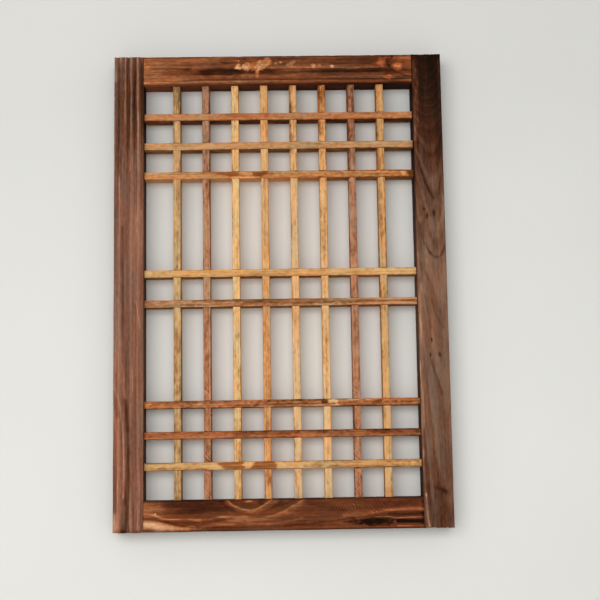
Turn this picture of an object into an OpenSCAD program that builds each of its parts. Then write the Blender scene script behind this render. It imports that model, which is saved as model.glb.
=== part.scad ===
// Wooden lattice window frame: two stiles and two rails around a lattice of uprights and belts of cross bars.
// The origin is at the middle of the underside, +Z is up and the front faces -Y.

/* [Frame] */
// Overall width, across both stiles
frame_w = 488; // [460:1:540]
// Overall height, which is also the length of the stiles
frame_h = 700; // [660:1:800]
// Depth of the stiles and rails, front to back
frame_d = 38; // [35:0.5:48]
// Width of each stile, seen from the front
stile_w = 44; // [38:0.5:52]
// Height of the top rail, seen from the front
top_rail_h = 43; // [36:0.5:52]
// Height of the bottom rail, seen from the front
bottom_rail_h = 44.5; // [36:0.5:52]
// Radius of the eased long edges of the stiles and rails
frame_arris_r = 1.2; // [0.5:0.1:2.5]

/* [Frame joints] */
// Thickness of the rail tenons, front to back
rail_tenon_t = 12; // [8:0.5:15]
// Length of the rail tenons beyond their shoulders
rail_tenon_len = 30; // [20:1:34]
// Set-back of the rail tenons from the outer edge of the rail, which keeps the mortise closed at the stile's end
rail_tenon_setback = 10; // [6:0.5:14]
// Shoulder of the rail tenons at the inner edge of the rail
rail_tenon_shoulder = 4; // [2:0.5:7]

/* [Lattice] */
// Width of an upright, seen from the front
upright_w = 11; // [8:0.5:13]
// Height of a cross bar, seen from the front
cross_bar_h = 11; // [8:0.5:13]
// Depth of all lattice bars, front to back
bar_d = 23; // [18:0.5:26]
// Set-back of the lattice from the front of the frame
bar_recess = 9; // [4:0.5:12]
// Distance from a stile to the middle of the nearest upright
upright_edge_gap = 48.1; // [30:0.1:60]
// Distance from a rail to the middle of the nearest cross bar
belt_edge_gap = 47.9; // [30:0.1:60]
// Spacing of the cross bars in a belt, centre to centre
cross_bar_pitch = 44.4; // [30:0.1:50]
// Radius of the eased long edges of the bars
bar_arris_r = 0.8; // [0.3:0.1:1.5]

/* [Lattice joints] */
// Length of the stub tenons at the ends of the bars
bar_tenon_len = 12; // [8:0.5:15]
// Shoulder on each side of a stub tenon
bar_tenon_shoulder = 1.5; // [1:0.25:2.5]
// Cheek cut away in front of and behind a stub tenon
bar_tenon_cheek = 6; // [4:0.5:8]
// Share of its depth that a cross bar keeps at a crossing, where the upright keeps the rest
lap_share = 0.5; // [0.35:0.05:0.65]

/* [Fits] */
// Play on each side of a tenon in its mortise
tenon_fit = 0.1; // [0.05:0.05:0.3]
// Room at the bottom of a mortise, beyond the tenon's end
mortise_end_room = 1; // [0.5:0.25:2]
// Play on each side of a bar in a half-lap notch
lap_fit = 0.1; // [0.05:0.05:0.25]

/* [Hidden] */
$fn = 32;

// How far a cut runs past the face that it opens
overrun = 2;

// The opening inside the frame, between stiles and between rails
clear_w = frame_w - 2 * stile_w;
clear_h = frame_h - top_rail_h - bottom_rail_h;
clear_mid_z = bottom_rail_h + clear_h / 2;

// Middles of the stiles and rails
stile_x = (frame_w - stile_w) / 2;
top_rail_z = frame_h - top_rail_h / 2;
bottom_rail_z = bottom_rail_h / 2;

// The rail tenons, which sit towards the opening because of their set-back
top_tenon_h = top_rail_h - rail_tenon_setback - rail_tenon_shoulder;
bottom_tenon_h = bottom_rail_h - rail_tenon_setback - rail_tenon_shoulder;
top_tenon_z = frame_h - rail_tenon_setback - top_tenon_h / 2;
bottom_tenon_z = rail_tenon_setback + bottom_tenon_h / 2;

// Front, middle and lap plane of the lattice, front to back
bar_front_y = bar_recess - frame_d / 2;
bar_mid_y = bar_front_y + bar_d / 2;
lap_y = bar_front_y + bar_d * lap_share;

// Eight uprights, evenly spaced across the opening
upright_count = 8;
upright_pitch = (clear_w - 2 * upright_edge_gap) / (upright_count - 1);
upright_xs = [for (i = [0 : upright_count - 1]) (i - (upright_count - 1) / 2) * upright_pitch];

// Cross bars in the outer and middle belts: the outer belts keep their distance from the rails
outer_belt_count = 3;
middle_belt_count = 2;
top_bar_z = frame_h - top_rail_h - belt_edge_gap;
bottom_bar_z = bottom_rail_h + belt_edge_gap;
middle_bar_z = clear_mid_z + (middle_belt_count - 1) / 2 * cross_bar_pitch;
cross_bar_zs = concat(
    [for (i = [0 : outer_belt_count - 1]) top_bar_z - i * cross_bar_pitch],
    [for (i = [0 : middle_belt_count - 1]) middle_bar_z - i * cross_bar_pitch],
    [for (i = [outer_belt_count - 1 : -1 : 0]) bottom_bar_z + i * cross_bar_pitch]
);
cross_bar_count = len(cross_bar_zs);

// Wood colours: dark burnt stiles and rails, and bars cut from mixed boards
stile_colors = ["#6b4033", "#5a4036"];
top_rail_color = "#7d4a33";
bottom_rail_color = "#5f3a2b";
upright_colors = [
    "#c8a564", "#a5694f", "#dcaf6e", "#cf9a5c", "#dfb474", "#d7a05a", "#a5644b", "#cda064"
];
cross_bar_colors = [
    "#c3784b", "#be8755", "#c98a52", "#dca05f", "#9a6440", "#96502f", "#8c4b32", "#dcaf73"
];

// Section of a planed bar with eased long edges
module eased_section(w, d, r) {
    square([w - 2 * r, d], center = true);
    square([w, d - 2 * r], center = true);
    for (x = [-1, 1], y = [-1, 1])
        translate([x * (w / 2 - r), y * (d / 2 - r)])
            circle(r);
}

// A planed length of wood that runs across the frame, centred
module across(w, d, r, length) {
    rotate([0, 90, 0])
        linear_extrude(length, center = true)
            eased_section(w, d, r);
}

// The tenons at both ends of a rail, or with play the mortises that take them, as one bar through the frame
module rail_tenons(z, h, play = 0, end_room = 0) {
    translate([0, 0, z])
        cube([clear_w + 2 * (rail_tenon_len + end_room), rail_tenon_t + 2 * play, h + 2 * play], center = true);
}

// The stub tenons at both ends of an upright, or with play the mortises that take them
module upright_tenons(x, play = 0, end_room = 0) {
    translate([x, bar_mid_y, clear_mid_z])
        cube([
            upright_w - 2 * bar_tenon_shoulder + 2 * play,
            bar_d - 2 * bar_tenon_cheek + 2 * play,
            clear_h + 2 * (bar_tenon_len + end_room)
        ], center = true);
}

// The stub tenons at both ends of a cross bar, or with play the mortises that take them
module cross_bar_tenons(z, play = 0, end_room = 0) {
    translate([0, bar_mid_y, z])
        cube([
            clear_w + 2 * (bar_tenon_len + end_room),
            bar_d - 2 * bar_tenon_cheek + 2 * play,
            cross_bar_h - 2 * bar_tenon_shoulder + 2 * play
        ], center = true);
}

// A stile, with blind mortises for both rails and every cross bar; side is -1 at the left and 1 at the right
module stile(side) {
    difference() {
        translate([side * stile_x, 0, 0])
            linear_extrude(frame_h)
                eased_section(stile_w, frame_d, frame_arris_r);
        rail_tenons(top_tenon_z, top_tenon_h, tenon_fit, mortise_end_room);
        rail_tenons(bottom_tenon_z, bottom_tenon_h, tenon_fit, mortise_end_room);
        for (z = cross_bar_zs)
            cross_bar_tenons(z, tenon_fit, mortise_end_room);
    }
}

module left_stile() {
    color(stile_colors[0]) stile(-1);
}

module right_stile() {
    color(stile_colors[1]) stile(1);
}

// A rail between the stiles, with tenons at its ends and blind mortises for the uprights
module rail(z, h, tenon_z, tenon_h) {
    difference() {
        union() {
            translate([0, 0, z])
                across(h, frame_d, frame_arris_r, clear_w);
            rail_tenons(tenon_z, tenon_h);
        }
        for (x = upright_xs)
            upright_tenons(x, tenon_fit, mortise_end_room);
    }
}

module top_rail() {
    color(top_rail_color) rail(top_rail_z, top_rail_h, top_tenon_z, top_tenon_h);
}

module bottom_rail() {
    color(bottom_rail_color) rail(bottom_rail_z, bottom_rail_h, bottom_tenon_z, bottom_tenon_h);
}

// An upright, notched in front so that each cross bar passes over it flush
module upright(i) {
    x = upright_xs[i];
    notch_d = lap_y - bar_front_y + overrun;
    color(upright_colors[i])
        difference() {
            union() {
                translate([x, bar_mid_y, bottom_rail_h])
                    linear_extrude(clear_h)
                        eased_section(upright_w, bar_d, bar_arris_r);
                upright_tenons(x);
            }
            for (z = cross_bar_zs)
                translate([x, lap_y - notch_d / 2, z])
                    cube([upright_w + 2 * overrun, notch_d, cross_bar_h + 2 * lap_fit], center = true);
        }
}

// A cross bar, notched behind for each upright
module cross_bar(i) {
    z = cross_bar_zs[i];
    notch_d = bar_front_y + bar_d - lap_y + overrun;
    color(cross_bar_colors[i])
        difference() {
            union() {
                translate([0, bar_mid_y, z])
                    across(cross_bar_h, bar_d, bar_arris_r, clear_w);
                cross_bar_tenons(z);
            }
            for (x = upright_xs)
                translate([x, lap_y + notch_d / 2, z])
                    cube([upright_w + 2 * lap_fit, notch_d, cross_bar_h + 2 * overrun], center = true);
        }
}

left_stile();
right_stile();
top_rail();
bottom_rail();
for (i = [1 : upright_count])
    upright(i - 1);
for (i = [1 : cross_bar_count])
    cross_bar(i - 1);
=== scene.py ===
"""Looks of the wooden lattice window frame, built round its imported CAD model."""
import itertools
import math

import bmesh
import bpy
import numpy as np
from mathutils import Matrix, Vector


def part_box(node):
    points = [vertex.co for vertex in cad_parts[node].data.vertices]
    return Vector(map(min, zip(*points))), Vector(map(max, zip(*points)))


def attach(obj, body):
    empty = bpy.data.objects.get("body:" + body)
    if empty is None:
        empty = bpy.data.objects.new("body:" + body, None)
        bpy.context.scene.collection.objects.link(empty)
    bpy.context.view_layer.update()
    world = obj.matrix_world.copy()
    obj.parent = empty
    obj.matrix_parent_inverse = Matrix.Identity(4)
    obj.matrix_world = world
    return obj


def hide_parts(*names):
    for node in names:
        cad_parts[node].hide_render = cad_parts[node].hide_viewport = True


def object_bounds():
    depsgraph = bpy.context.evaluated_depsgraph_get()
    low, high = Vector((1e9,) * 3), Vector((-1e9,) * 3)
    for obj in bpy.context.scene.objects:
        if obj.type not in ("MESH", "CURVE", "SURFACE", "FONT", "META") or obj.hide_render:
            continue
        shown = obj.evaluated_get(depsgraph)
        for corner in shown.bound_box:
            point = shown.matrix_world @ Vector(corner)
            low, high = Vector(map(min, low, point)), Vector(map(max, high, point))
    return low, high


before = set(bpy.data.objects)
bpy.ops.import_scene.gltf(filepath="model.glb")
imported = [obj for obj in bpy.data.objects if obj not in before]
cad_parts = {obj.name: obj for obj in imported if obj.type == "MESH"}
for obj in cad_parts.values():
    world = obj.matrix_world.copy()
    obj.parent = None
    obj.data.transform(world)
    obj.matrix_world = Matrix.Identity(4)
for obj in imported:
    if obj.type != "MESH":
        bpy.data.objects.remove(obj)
cad_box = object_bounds()

# Left stile
# The full-height side member, sawn from scorched softwood and wire-brushed, so that the hard late wood stands
# as pale ridges over dark, brushed-out early wood. Its inner face is mortised for both rails and eight cross bars.

MM = 0.001
CROSS_BAR_NAMES = [f"cross_bar_{i}" for i in range(1, 9)]
RAIL_NAMES = ["top_rail", "bottom_rail"]

# Axes that level and upright pieces run along, and the two ends of such a run
LEVEL, UPRIGHT = 0, 2
LOW_END, HIGH_END = -1, 1

# Eased edges and joints, how deep the front's figure goes round an edge, and how uneven the plane left a face, in mm
FRAME_ARRIS = 1.2
SHOULDER_EASE = 0.35
TENON_PLAY = 0.1
MORTISE_END_ROOM = 1.0
CUT_OVERRUN = 1.0
FRAME_FRONT = 3
FRAME_WANDER = 0.3

# One year ring, from its early wood through the hard late line to the start of the next: place and lightness
RING_PROFILE = [(0.0, 0.36), (0.3, 0.42), (0.5, 1.0), (0.62, 0.85), (0.8, 0.04), (0.93, 0.2), (1.0, 0.36)]


def smooth_noise(points, seed):
    """Smooth noise from -1 to 1, with points given in cells of the noise."""
    cell = np.floor(points).astype(np.int64)
    part = points - cell
    part = part * part * (3 - 2 * part)
    total = np.zeros(len(points))
    for corner in itertools.product((0, 1), repeat=3):
        key = (cell + corner) @ np.array([374761393, 668265263, 1440662683]) + seed * 1013904223
        key = ((key ^ (key >> 13)) * 1274126177) & 0xFFFFFFFF
        value = ((key ^ (key >> 16)) & 0xFFFF) / 32767.5 - 1
        total += value * np.prod(np.where(corner, part, 1 - part), axis=1)
    return total


def face_noise(along, across, cell, seed):
    """Smooth noise over a face, in cells of the given length and width in millimetres."""
    return smooth_noise(np.stack([along / cell[0], across / cell[1], 0 * along], axis=1), seed)


def eased_outline(width, depth, arris, step, deep_step):
    """Points round a planed section with eased edges, as (across, deep) in millimetres."""
    corners = [(0, 0, 180), (width, 0, 270), (width, depth, 0), (0, depth, 90)]
    points = []
    for (across, deep, turn), (next_across, next_deep, _) in zip(corners, corners[1:] + corners[:1]):
        middle = np.clip((across, deep), arris, (width - arris, depth - arris))
        for degrees in (0, 30, 60, 90):
            angle = math.radians(turn + degrees)
            points.append(middle + arris * np.array([math.cos(angle), math.sin(angle)]))
        following = np.clip((next_across, next_deep), arris, (width - arris, depth - arris))
        run = following - middle
        count = round(np.hypot(*run) / (step if run[1] == 0 else deep_step))
        points += [points[-1] + run * k / count for k in range(1, count)]
    return np.array(points)


def across_of(axis):
    """The axis across the front of a piece that runs along another."""
    return LEVEL if axis == UPRIGHT else UPRIGHT


def add_object(name, data):
    """A new object, linked into the scene."""
    added = bpy.data.objects.new(name, data)
    bpy.context.scene.collection.objects.link(added)
    return added


def planed_timber(name, low, high, axis, arris, step, deep_step, long_step, end_rings):
    """A closed, densely meshed length of planed timber between two corners."""
    low, high = np.array(low) / MM, np.array(high) / MM
    size, wide = high - low, across_of(axis)
    outline = eased_outline(size[wide], size[1], arris, step, deep_step)
    middle = np.array([size[wide], size[1]]) / 2

    # Rings of points over one end, along the piece and over the other end: share of the section, and place
    ease = 1 - SHOULDER_EASE / middle
    ends = [(share * ease, 0) for share in np.linspace(0.04, 1, end_rings)] + [(np.ones(2), SHOULDER_EASE)]
    stations = np.linspace(SHOULDER_EASE, size[axis] - SHOULDER_EASE, round(size[axis] / long_step))
    rings = ends + [(np.ones(2), s) for s in stations[1:-1]] + [(share, size[axis] - s) for share, s in ends[::-1]]
    points = np.zeros((len(rings), len(outline), 3))
    for ring, (share, place) in zip(points, rings):
        section = middle + (outline - middle) * share
        ring[:, wide] = low[wide] + section[:, 0]
        ring[:, 1] = low[1] + section[:, 1]
        ring[:, axis] = low[axis] + place

    count = len(outline)
    faces = []
    for r in range(len(rings) - 1):
        a, b = r * count, (r + 1) * count
        faces += [(a + i, a + (i + 1) % count, b + (i + 1) % count, b + i) for i in range(count)]
    faces += [tuple(range(count))[::-1], tuple(range((len(rings) - 1) * count, len(rings) * count))]
    mesh = bpy.data.meshes.new(name)
    mesh.from_pydata((points.reshape(-1, 3) * MM).tolist(), [], faces)
    shaped = bmesh.new()
    shaped.from_mesh(mesh)
    bmesh.ops.recalc_face_normals(shaped, faces=shaped.faces)
    shaped.to_mesh(mesh)
    shaped.free()
    return add_object(name, mesh)


def end_tenon(node, axis, end, shoulder):
    """Lowest and highest corners of a CAD piece's tenon, beyond its shoulder at one end."""
    corners = np.array([v.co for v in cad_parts[node].data.vertices])
    beyond = corners[(corners[:, axis] - shoulder) * end > MM]
    low, high = beyond.min(axis=0), beyond.max(axis=0)
    (high if end == LOW_END else low)[axis] = shoulder
    return low, high


def joinery(piece, boxes, operation):
    """Joins tenons to a piece with UNION, or cuts mortises or notches into it with DIFFERENCE."""
    blocks = bmesh.new()
    for low, high in boxes:
        low, high = Vector(low), Vector(high)
        place = Matrix.Translation((low + high) / 2) @ Matrix.Diagonal((high - low).to_4d())
        bmesh.ops.create_cube(blocks, size=1, matrix=place)
    mesh = bpy.data.meshes.new("joinery")
    blocks.to_mesh(mesh)
    blocks.free()
    tool = add_object("joinery", mesh)
    cut = piece.modifiers.new("joinery", "BOOLEAN")
    cut.operation, cut.object, cut.solver = operation, tool, "EXACT"
    worked = bpy.data.meshes.new_from_object(piece.evaluated_get(bpy.context.evaluated_depsgraph_get()))
    piece.modifiers.clear()
    piece.data = worked
    bpy.data.objects.remove(tool)


def cut_mortises(piece, names, axis, end, shoulder):
    """Cuts the pockets for tenons at one end of other pieces, with play, room at the end and a run past the face."""
    pockets = []
    for name in names:
        low, high = end_tenon(name, axis, end, shoulder)
        low, high = low - TENON_PLAY * MM, high + TENON_PLAY * MM
        outward, inward = (low, high) if end == LOW_END else (high, low)
        outward[axis] += end * MORTISE_END_ROOM * MM
        inward[axis] -= end * CUT_OVERRUN * MM
        pockets.append((low, high))
    joinery(piece, pockets, "DIFFERENCE")


def vertices_of(piece, kind="co"):
    """The place of each vertex of a piece, or its normal."""
    values = np.zeros(len(piece.data.vertices) * 3)
    piece.data.vertices.foreach_get(kind, values)
    return values.reshape(-1, 3)


def measured(piece, low, high, axis):
    """Each vertex of a piece as (along, across, deep) from its corner low, and the piece's size, in millimetres."""
    order = [axis, across_of(axis), 1]
    return ((vertices_of(piece) - np.array(low)) / MM)[:, order], np.array(high - low)[order] / MM


def flowing(points, pieces=8):
    """A smooth line through a few points, for a streak of the figure."""
    points = [np.array(p) for p in points]
    knots = [2 * points[0] - points[1], *points, 2 * points[-1] - points[-2]]
    line = [points[0]]
    for before, start, end, after in zip(knots, knots[1:], knots[2:], knots[3:]):
        for t in np.arange(1, pieces + 1) / pieces:
            line.append(0.5 * (2 * start + (end - before) * t + (2 * before - 5 * start + 4 * end - after) * t ** 2
                               + (3 * start - before - 3 * end + after) * t ** 3))
    return line


def off_line(along, across, start, end):
    """How far each place on a face lies from a straight line, along and across."""
    (a0, c0), (a1, c1) = start, end
    run, rise = a1 - a0, c1 - c0
    t = np.clip(((along - a0) * run + (across - c0) * rise) / (run ** 2 + rise ** 2), 0, 1)
    return along - a0 - t * run, across - c0 - t * rise


def streak(along, across, width, points, fade=None):
    """A streak of the figure through points on a face: 1 along its middle, fading over its half width.

    On the left of its run it fades over another half width, where one is given.
    """
    seed = round(10 * points[0][0] + points[0][1])
    spread = face_noise(along, across, (16, 3), seed)
    across = across + 0.5 * face_noise(along, across, (22, 20), seed + 1)
    gap, reach = np.full(len(along), np.inf), np.full(len(along), float(width))
    line = flowing(points)
    for start, end in zip(line, line[1:]):
        off_along, off_across = off_line(along, across, start, end)
        run, rise = end - start
        near = np.hypot(off_along, off_across)
        side = np.where(run * off_across > rise * off_along, fade or width, width)
        gap, reach = np.minimum(gap, near), np.where(near < gap, side, reach)
    return (0.88 + 0.24 * spread) * np.exp(-(gap / (reach * (1 + 0.3 * spread))) ** 2)


def streaked(shade, places, front, streaks):
    """Lightness with streaks on the front: strength, half width, points and any half width on the left of the run."""
    along, across, _ = places.T
    for strength, *shape in streaks:
        shade = shade + strength * front * streak(along, across, *shape)
    return shade


def saw_ends(piece, places, axis, length, cuts, seed):
    """Leaves the two ends of a piece ragged, up to a depth of cuts below each end."""
    along, across, deep = places.T
    corners = vertices_of(piece)
    torn = face_noise(across, deep, (2.6, 5), seed) + 0.5 * face_noise(across, deep, (8, 12), seed + 1)
    for end, cut in zip((0, length), cuts):
        ended = np.abs(along - end) < SHOULDER_EASE + 0.01
        corners[ended, axis] += (1 if end == 0 else -1) * cut * np.clip(torn[ended], 0, 1) * MM
    piece.data.vertices.foreach_set("co", corners.ravel())
    piece.data.update()


def finish_wood(piece, places, size, rings, shade, relief, seed, hollow=0, bold=1, warm=0, arris=FRAME_ARRIS,
                wander=FRAME_WANDER):
    """Brushes the grain into a piece's skin, nicks its edges and keeps its figure for the material.

    Chips lie as deep as hollow says, a hand plane has left the faces uneven by wander, the grain shows by bold and
    the wood is redder by warm.
    """
    along, across, deep = places.T
    length, width, depth = size
    corner = np.stack([np.abs(across - width / 2) - width / 2 + arris, np.abs(deep - depth / 2) - depth / 2 + arris])
    outside = np.hypot(*np.maximum(corner, 0)) + np.minimum(corner.max(axis=0), 0) - arris
    inside_ends = (along > SHOULDER_EASE) & (along < length - SHOULDER_EASE)
    skin = (np.abs(outside) < 0.05) & inside_ends
    edge = skin & (corner.min(axis=0) > -0.2)
    ridge = np.interp(rings % 1, *zip(*RING_PROFILE))
    worn = relief * bold * (1 - ridge) + 0.25 * relief * np.clip(0.5 - shade, 0, 1) + hollow
    worn = worn + wander * np.clip(smooth_noise(places / (45, 30, 30), seed + 1), 0, 1)
    nick = smooth_noise(places / (7, 9, 9), seed)
    worn = np.where(edge, worn + arris * (0.1 + 0.9 * np.clip(nick - 0.4, 0, 1)), worn)
    corners = vertices_of(piece) - vertices_of(piece, "normal") * (np.where(skin, worn, 0) * MM)[:, None]
    piece.data.vertices.foreach_set("co", corners.ravel())
    for name, values in (("rings", rings), ("shade", shade), ("bold", bold + 0 * along), ("warm", warm + 0 * along)):
        piece.data.attributes.new(name, "FLOAT", "POINT").data.foreach_set("value", values.astype(np.float32))
    piece.data.shade_smooth()
    piece.data.set_sharp_from_angle(angle=math.radians(38))
    piece.data.update()


def paint(code):
    """A colour written as red, green and blue in hex, as Blender's linear colour."""
    parts = [int(code[k:k + 2], 16) / 255 for k in (0, 2, 4)]
    return [p / 12.92 if p <= 0.04045 else ((p + 0.055) / 1.055) ** 2.4 for p in parts] + [1]


def add_node(tree, kind, inputs, **settings):
    """Adds a shader node, with values or links for its named or numbered inputs."""
    node = tree.nodes.new(kind)
    for key, value in settings.items():
        setattr(node, key, value)
    for key, value in inputs.items():
        if isinstance(value, bpy.types.NodeSocket):
            tree.links.new(value, node.inputs[key])
        else:
            node.inputs[key].default_value = value
    return node


def add_ramp(tree, factor, stops, interpolation):
    """Adds a colour ramp through stops of place and colour."""
    node = add_node(tree, "ShaderNodeValToRGB", {0: factor})
    ramp = node.color_ramp
    ramp.interpolation = interpolation
    while len(ramp.elements) < len(stops):
        ramp.elements.new(1)
    for element, (place, color) in zip(ramp.elements, stops):
        element.position, element.color = place, color
    return node.outputs["Color"]


def tinted(tree, color, tint):
    """Multiplies one colour by another, through the sockets that a mix node keeps for colours."""
    mix = {0: 1.0, 6: color, 7: tint}
    return add_node(tree, "ShaderNodeMix", mix, data_type="RGBA", blend_type="MULTIPLY").outputs[2]


def add_material(name):
    """A new material, with its nodes, its shader and the place of each point on the piece."""
    material = bpy.data.materials.new(name)
    material.use_nodes = True
    tree = material.node_tree
    return material, tree, tree.nodes["Principled BSDF"], add_node(tree, "ShaderNodeTexCoord", {}).outputs["Object"]


def wood(name, palette, axis, contrasts, seed):
    """Oiled, brushed wood: its rings, its placed figure, long fibres and pores, all through one palette.

    The contrasts are those of its rings, its fibres and its mottle.
    """
    material, tree, shader, place = add_material(name)
    ringed, fibrous, mottled = contrasts

    def grain(along_scale, cross_scale, detail):
        scale = [cross_scale] * 3
        scale[axis] = along_scale
        mapping = {"Vector": place, "Scale": scale, "Location": [seed * 3.7] * 3}
        stretched = add_node(tree, "ShaderNodeMapping", mapping).outputs[0]
        noise = {"Vector": stretched, "Scale": 1.0, "Detail": detail, "Roughness": 0.6}
        return add_node(tree, "ShaderNodeTexNoise", noise).outputs[0]

    def kept(name):
        return add_node(tree, "ShaderNodeAttribute", {}, attribute_name=name).outputs["Fac"]

    def math_node(operation, a, b, c=0.0, **settings):
        return add_node(tree, "ShaderNodeMath", {0: a, 1: b, 2: c}, operation=operation, **settings).outputs[0]

    fibre, band, mottle, cloud = grain(14, 520, 4), grain(9, 220, 3), grain(110, 360, 3), grain(9, 70, 2)
    shade = kept("shade")
    wavy = math_node("MULTIPLY_ADD", cloud, 0.3, kept("rings"))
    year = add_ramp(tree, math_node("FRACT", wavy, 0.0), [(p, (v, v, v, 1)) for p, v in RING_PROFILE], "EASE")
    figure = math_node("MULTIPLY", math_node("SUBTRACT", year, 0.42), ringed)
    for noise, contrast in ((fibre, fibrous), (band, fibrous), (mottle, mottled), (cloud, 0.35)):
        figure = math_node("MULTIPLY_ADD", math_node("SUBTRACT", noise, 0.5), contrast, figure)
    # Scorched wood is too dark to show much of its grain
    shown = math_node("MULTIPLY", math_node("MULTIPLY_ADD", shade, 1.5, 0.25, use_clamp=True), kept("bold"))
    pitted = math_node("GREATER_THAN", grain(150, 2600, 1), 0.66)
    light = math_node("MULTIPLY_ADD", pitted, -0.1, math_node("MULTIPLY_ADD", figure, shown, shade))
    colors = [paint(code) for code in palette.split()]
    color = add_ramp(tree, light, list(zip(np.linspace(0, 1, len(colors)), colors)), "LINEAR")
    # From redder to greyer wood
    tints = [(0.0, (1.3, 0.9, 0.66, 1)), (0.36, (1.12, 0.97, 0.86, 1)), (0.64, (0.93, 1.02, 1.06, 1))]
    tint = add_ramp(tree, math_node("SUBTRACT", grain(14, 110, 2), kept("warm")), tints, "EASE")
    tree.links.new(tinted(tree, color, tint), shader.inputs["Base Color"])
    tree.links.new(math_node("MULTIPLY_ADD", fibre, 0.3, 0.58), shader.inputs["Roughness"])
    shader.inputs["Specular IOR Level"].default_value = 0.03
    height = math_node("MULTIPLY_ADD", pitted, -0.6, fibre)
    bump = add_node(tree, "ShaderNodeBump", {"Strength": 0.35, "Distance": 0.0004, "Height": height})
    tree.links.new(bump.outputs[0], shader.inputs["Normal"])
    return material


def fit(piece, node, material):
    """Gives a piece its finish and puts it in the place of its CAD node."""
    piece.data.materials.clear()
    piece.data.materials.append(material)
    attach(piece, "root")
    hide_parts(node)


STILE_STEPS = dict(arris=FRAME_ARRIS, step=0.8, deep_step=1.2, long_step=2.5, end_rings=14)


def stile_blank(node, end):
    """A stile, mortised on its inner edge for one end of each rail and cross bar: piece, places, size and edge."""
    low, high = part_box(node)
    inner_x = high.x if end == LOW_END else low.x
    blank = planed_timber(node + "_wood", low, high, UPRIGHT, **STILE_STEPS)
    cut_mortises(blank, RAIL_NAMES + CROSS_BAR_NAMES, LEVEL, end, inner_x)
    return blank, *measured(blank, low, high, UPRIGHT), inner_x


left_stile, places, stile_size, left_inner_x = stile_blank("left_stile", LOW_END)
along, across, deep = places.T

# The board's heart lay behind and to the right, so the rings cross the front as straight stripes 9 mm apart
rings = np.hypot(across - 75, deep - 55) / 6.4 - 0.11
rings += 0.16 * smooth_noise(places / (210, 60, 60), 3) + 0.05 * smooth_noise(places / (35, 12, 12), 4)

# Lightness of the wood and boldness of its grain at heights from the foot
LEFT_LIGHTNESS = ([0, 40, 120, 250, 420, 520, 600, 660, 685, 700],
                  [0.53, 0.52, 0.54, 0.61, 0.56, 0.45, 0.32, 0.28, 0.32, 0.42])
LEFT_BOLDNESS = ([0, 80, 180, 300, 420, 520, 620, 700], [0.7, 0.66, 0.58, 0.5, 0.5, 0.7, 1.0, 1.0])
shade = np.interp(along, *LEFT_LIGHTNESS) + 0.08 * smooth_noise(places / (90, 9, 9), 5)
front = np.exp(-(deep / FRAME_FRONT) ** 2)

# Streaks on the front: strength, half width, and points from the foot and from the left edge
shade = streaked(shade, places, front, [
    (0.34, 1.2, [(699, 16), (600, 16)]),
    (0.2, 1, [(600, 16), (540, 15)]),
    (0.34, 1.3, [(699, 25), (588, 25)]),
    (0.22, 1.2, [(588, 25), (528, 24)]),
    (0.34, 1.7, [(699, 35), (580, 35)]),
    (0.25, 1.6, [(580, 35), (528, 35)]),
    (0.3, 2.4, [(699, 2), (663, 3)]),
    (-0.14, 2.4, [(699, 20), (560, 20)]),
    (-0.14, 2.2, [(699, 30), (560, 30)]),
    (-0.12, 2.6, [(690, 9), (520, 9)]),
    (-0.14, 1.8, [(690, 41), (470, 41)]),
    (0.2, 0.9, [(516, 8), (483, 8)]),
    (-0.22, 3.2, [(440, 13), (335, 14), (262, 16), (203, 20), (145, 21)]),
    (0.12, 1.4, [(335, 5), (230, 4)]),
    (0.3, 0.7, [(331, 33), (294, 39)]),
    (0.14, 2, [(460, 33), (400, 34), (330, 32)]),
    (0.22, 0.7, [(232, 27), (200, 29)]),
    (0.3, 1.1, [(212, 1.5), (203, 3.2), (185, 9.2), (165, 12.2), (138, 14.6), (83, 15.6), (50, 15.2)]),
    (0.26, 0.9, [(168, 1), (161, 2.3), (145, 5), (119, 5.9), (65, 6.7), (8, 5.8)]),
    (0.2, 3, [(160, 7), (120, 9), (60, 10), (4, 9)]),
    (-0.16, 1.4, [(192, 1.4), (176, 4)]),
    (-0.36, 3.6, [(188, 18), (150, 21), (100, 22.4), (40, 20.5), (1, 16.5)]),
    (-0.14, 1.4, [(150, 17.4), (90, 18), (40, 17.4)]),
    (0.12, 1, [(110, 24.5), (5, 25)]),
    (0.2, 0.9, [(60, 34.5), (5, 35)]),
    (-0.2, 1, [(105, 40), (4, 41)]),
    (-0.18, 0.9, [(90, 30), (4, 30)]),
    (0.4, 4, [(24, 2), (2, 3)]),
    (-0.14, 2, [(500, 1), (420, 1.5), (360, 1)]),
    (-0.3, 1.5, [(2, 6), (1, 42)]),
])
# How much darker the sides and back are than the front: partly real stain, partly painted shade
SIDE_STAIN_AND_SHADE = 0.34


def stained_and_shaded_sides(shade, front, across, inner):
    """Lightness of a stile that is stained and darkened by painted shade on its sides and back, with the painted
    shade darkest on the face towards the lattice.
    """
    stained = shade - SIDE_STAIN_AND_SHADE * (1 - front)
    # Painted shade: the inner face towards the lattice keeps its full darkening, while the other sides and the back
    # are held lighter
    rubbed_or_inner_shade = np.where(np.abs(across - inner) < FRAME_ARRIS, -0.1, 0.15 + 0.2 * shade)
    return np.where(front > 0.5, stained, np.maximum(stained, rubbed_or_inner_shade))


shade = stained_and_shaded_sides(shade, front, across, stile_size[1])
redness = 0.24 * front * streak(along, across, 6.0, [(190, 1), (140, 6), (60, 8), (2, 6)])
finish_wood(left_stile, places, stile_size, rings, shade, relief=0.4, seed=11,
            bold=np.interp(along, *LEFT_BOLDNESS), warm=redness)
saw_ends(left_stile, places, UPRIGHT, stile_size[0], cuts=(1.9, 0.7), seed=31)
LEFT_PALETTE = "2c180e 583624 7a5343 9a715d c0967e"
fit(left_stile, "left_stile",
    wood("scorched_left_stile", LEFT_PALETTE, UPRIGHT, (0.32, 0.6, 0.6), seed=1))

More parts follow.
